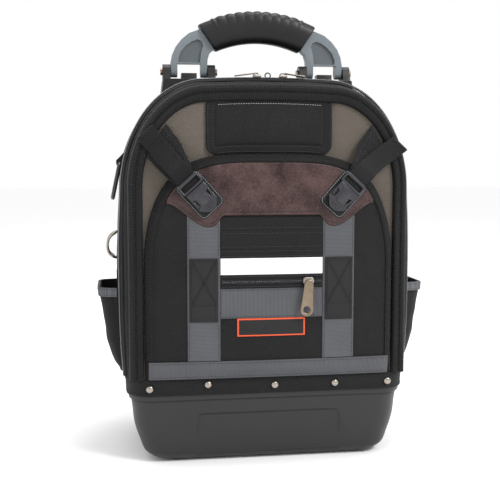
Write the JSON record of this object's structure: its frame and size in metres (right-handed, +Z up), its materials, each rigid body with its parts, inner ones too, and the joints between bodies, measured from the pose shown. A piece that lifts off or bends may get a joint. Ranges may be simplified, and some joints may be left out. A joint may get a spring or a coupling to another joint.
{
  "type": "tool backpack",
  "caption": "Upright tool backpack on a moulded tub, with a fabric body, front pocket, side pockets, shoulder straps and a folding carry handle.",
  "frame": {"origin": "middle of the tub's underside, on the surface it stands on", "axes": "+Z up to the handle, -Y out of the front face, +X to the right seen from the front"},
  "size_m": [0.4086, 0.2825, 0.559],
  "materials": {
    "tub_plastic": "fine-grained matt moulding",
    "black_cloth": "heavy plain-woven nylon",
    "taupe_cloth": "heavy plain-woven nylon",
    "black_mesh_pad": "padded air mesh",
    "rim_binding": "ribbed binding tape",
    "zip_tape": "zip tape with a dark coil",
    "grey_webbing": "ribbed webbing",
    "black_webbing": "ribbed webbing",
    "patch_cloth": "box-stitched webbing",
    "white_tape": "smooth reflective tape",
    "orange_label": "folded label tape",
    "leather": "oiled, with a light sheen",
    "nickel": "nickel plated",
    "aged_brass": "antique plated",
    "buckle_plastic": "satin moulding",
    "bracket_plastic": "matt moulding",
    "arm_plastic": "satin moulding",
    "grip_rubber": "soft matt overmould"
  },
  "bodies": {
    "pack": {"base_tub": "tub_plastic", "skirt": "black_cloth", "rivet_1": "nickel", "rivet_2": "nickel", "rivet_3": "nickel", "rivet_4": "nickel", "rivet_5": "nickel", "body_gusset": "black_cloth", "front_panel": "taupe_cloth", "back_panel": "black_mesh_pad", "front_rim": "rim_binding", "rear_rim": "rim_binding", "front_zip": "zip_tape", "rear_zip": "zip_tape", "top_zip_slider_left": "nickel", "top_zip_slider_right": "nickel", "front_pocket": "black_cloth", "arch_binding": "rim_binding", "leather_yoke": "leather", "webbing_left": "grey_webbing", "patch_left": "patch_cloth", "webbing_right": "grey_webbing", "patch_right": "patch_cloth", "upper_band": "black_cloth", "white_stripe": "white_tape", "pocket_zip": "zip_tape", "web_panel": "grey_webbing", "label_patch": "orange_label", "grey_band": "grey_webbing", "pocket_zip_slider": "nickel", "pocket_zip_pull": "aged_brass", "top_flap": "black_cloth", "buckle_pad_left": "patch_cloth", "buckle_socket_left": "buckle_plastic", "buckle_plug_left": "buckle_plastic", "wing_left": "black_cloth", "strap_tail_left": "black_webbing", "buckle_pad_right": "patch_cloth", "buckle_socket_right": "buckle_plastic", "buckle_plug_right": "buckle_plastic", "wing_right": "black_cloth", "strap_tail_right": "black_webbing", "side_pocket_left": "black_cloth", "pocket_trim_left": "grey_webbing", "side_pocket_right": "black_cloth", "pocket_trim_right": "grey_webbing", "side_ring": "buckle_plastic", "side_ring_tab": "black_webbing", "side_clip": "nickel", "handle_bracket_left": "bracket_plastic", "handle_bracket_right": "bracket_plastic", "handle_bolt_left_outer": "nickel", "handle_bolt_left_inner": "nickel", "handle_bolt_right_outer": "nickel", "handle_bolt_right_inner": "nickel", "shoulder_strap_left": "black_mesh_pad", "shoulder_strap_right": "black_mesh_pad"},
    "handle": {"handle_arm_left": "arm_plastic", "handle_arm_right": "arm_plastic", "handle_grip": "grip_rubber"}
  },
  "joints": [
    {"name": "handle_fold", "type": "hinge", "parent": "pack", "child": "handle", "pos_m": [0, 0, 0.481], "axis": [1, 0, 0], "range_deg": [-80, 80]}
  ]
}
